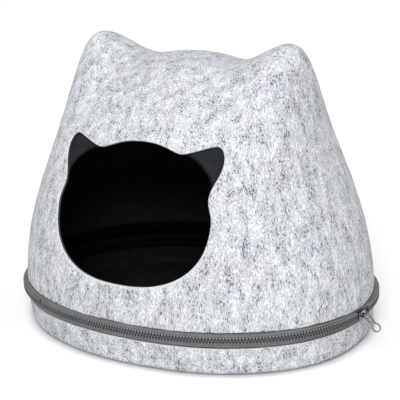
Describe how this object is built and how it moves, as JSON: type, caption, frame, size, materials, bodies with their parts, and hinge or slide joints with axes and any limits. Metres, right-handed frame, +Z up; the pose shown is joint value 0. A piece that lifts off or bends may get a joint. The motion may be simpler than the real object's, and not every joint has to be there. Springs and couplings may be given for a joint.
{
  "type": "cat house",
  "caption": "Enclosed felt cat house with cat-ear bumps, a cat-head doorway and a hood that zips onto a shallow tray.",
  "frame": {"origin": "middle of the tray's oval underside, on the surface that the house stands on", "axes": "+Z up, doorway faces -Y, ears towards +X and -X, zip slider at the +X side"},
  "size_m": [0.4327, 0.3288, 0.3144],
  "materials": {
    "grey_felt": "light heather-grey needled felt, matt and slightly fuzzy",
    "charcoal_lining": "charcoal felt lining, matt",
    "zip_tape": "mid-grey woven polyester tape",
    "zip_teeth": "grey nylon teeth",
    "slider_metal": "nickel-coloured die-cast metal"
  },
  "bodies": {
    "root": {"hood_shell": "grey_felt", "hood_lining": "charcoal_lining", "base_tray": "grey_felt", "zip_tape_upper": "zip_tape", "zip_tape_lower": "zip_tape", "zip_teeth_upper": "zip_teeth", "zip_teeth_lower": "zip_teeth", "zip_slider": "slider_metal", "zip_pull": "slider_metal"}
  },
  "joints": []
}
